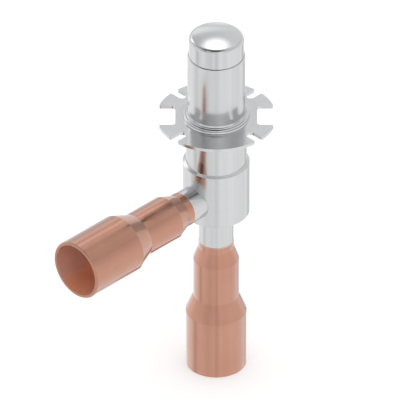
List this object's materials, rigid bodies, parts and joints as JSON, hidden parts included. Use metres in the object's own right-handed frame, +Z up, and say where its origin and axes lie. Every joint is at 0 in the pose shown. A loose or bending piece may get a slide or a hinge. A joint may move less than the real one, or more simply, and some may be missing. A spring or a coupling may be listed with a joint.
{
  "type": "electronic expansion valve",
  "caption": "Angle-type electronic expansion valve with a domed stainless rotor can, a slotted index disc and swaged copper solder sockets, without its coil.",
  "frame": {"origin": "centre of the bottom solder socket's mouth", "axes": "+Z up the main axis from the bottom socket to the cap, +X out along the side port"},
  "size_m": [0.1046, 0.0484, 0.1623],
  "materials": {
    "turned_stainless": "turned and lightly polished stainless steel",
    "polished_stainless": "drawn and polished stainless steel",
    "punched_stainless": "punched stainless sheet, satin",
    "copper": "satin drawn copper",
    "turned_brass": "turned brass",
    "hard_steel": "ground hardened steel",
    "bonded_magnet": "plastic-bonded ferrite, matt",
    "moulded_plastic": "glass-filled moulded plastic",
    "white_fluoropolymer": "waxy white fluoropolymer",
    "black_rubber": "black rubber"
  },
  "bodies": {
    "housing": {"valve_body": "turned_stainless", "bonnet": "turned_stainless", "index_disc": "punched_stainless", "can_tube": "polished_stainless", "can_cap": "polished_stainless", "bottom_stub": "turned_stainless", "side_stub": "turned_stainless", "bottom_connector": "copper", "side_connector": "copper", "seat_ring": "turned_stainless", "piston_guide": "turned_brass", "guide_o_ring": "black_rubber", "piston_seal": "white_fluoropolymer", "bearing_housing": "turned_brass", "bearing_outer_ring": "hard_steel", "bearing_circlip": "hard_steel", "backlash_spring": "hard_steel", "top_plate": "punched_stainless", "top_bush": "white_fluoropolymer"},
    "rotor": {"spindle": "hard_steel", "spindle_clip": "hard_steel", "bearing_inner_ring": "hard_steel", "rotor_magnet": "bonded_magnet", "rotor_hub": "moulded_plastic", "rotor_clip": "hard_steel"},
    "plunger": {"piston": "turned_brass", "drive_nut": "turned_brass", "guide_pin": "hard_steel", "seat_seal": "white_fluoropolymer", "seal_screw": "turned_brass"},
    "ball_set": {"bearing_balls": "hard_steel", "bearing_cage": "turned_brass"}
  },
  "joints": [
    {"name": "rotor_spin", "type": "hinge", "parent": "housing", "child": "rotor", "pos_m": [0, 0, 0.1177], "axis": [0, 0, -1], "range_deg": [0, 1980]},
    {"name": "piston_lift", "type": "slide", "parent": "housing", "child": "plunger", "axis": [0, 0, 1], "range_m": [0, 0.0044], "deforming": ["backlash_spring"]},
    {"name": "cage_orbit", "type": "hinge", "parent": "housing", "child": "ball_set", "pos_m": [0, 0, 0.1177], "axis": [0, 0, -1], "range_deg": [0, 770]}
  ],
  "couplings": [
    {"joint": "rotor_spin", "follows": "piston_lift", "rad_per_m": 7854},
    {"joint": "cage_orbit", "follows": "piston_lift", "rad_per_m": 3029.3}
  ]
}
